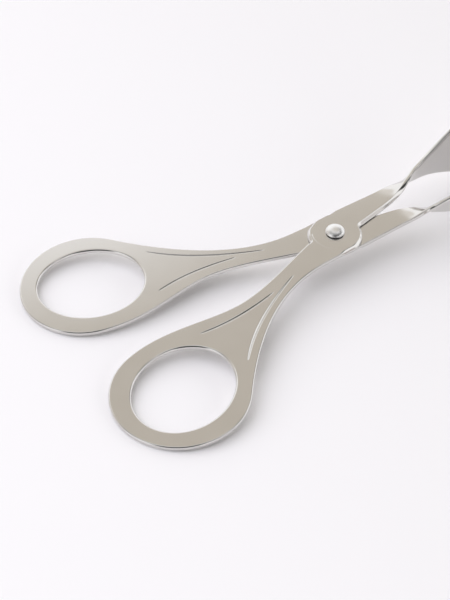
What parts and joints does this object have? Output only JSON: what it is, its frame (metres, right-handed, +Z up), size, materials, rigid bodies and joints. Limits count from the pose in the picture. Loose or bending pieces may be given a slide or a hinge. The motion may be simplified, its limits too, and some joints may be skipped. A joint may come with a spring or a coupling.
{
  "type": "pastry tongs",
  "caption": "Scissor-action pastry tongs of stamped stainless steel with finger rings, a riveted pivot and fan-shaped jaws stood on edge by a quarter twist.",
  "frame": {"origin": "centre of the bounding box's floor, on the table that the tongs lie on", "axes": "+X along the tongs from the finger rings to the jaws, +Z up from the table; the sheet is tilted about six degrees because the jaws stand on edge"},
  "size_m": [0.212, 0.1066, 0.0429],
  "materials": {
    "arm_steel": "satin-polished stainless steel sheet with bright rounded edges",
    "rivet_steel": "mirror-polished stainless steel"
  },
  "bodies": {
    "under_arm": {"arm_under": "arm_steel", "pivot_rivet": "rivet_steel"},
    "over_arm": {"arm_over": "arm_steel"}
  },
  "joints": [
    {"name": "pivot", "type": "hinge", "parent": "under_arm", "child": "over_arm", "pos_m": [0.00371, -0.00016, 0.01221], "axis": [-0.102, -0.0359, 0.9941], "range_deg": [-9.2, 32]}
  ]
}
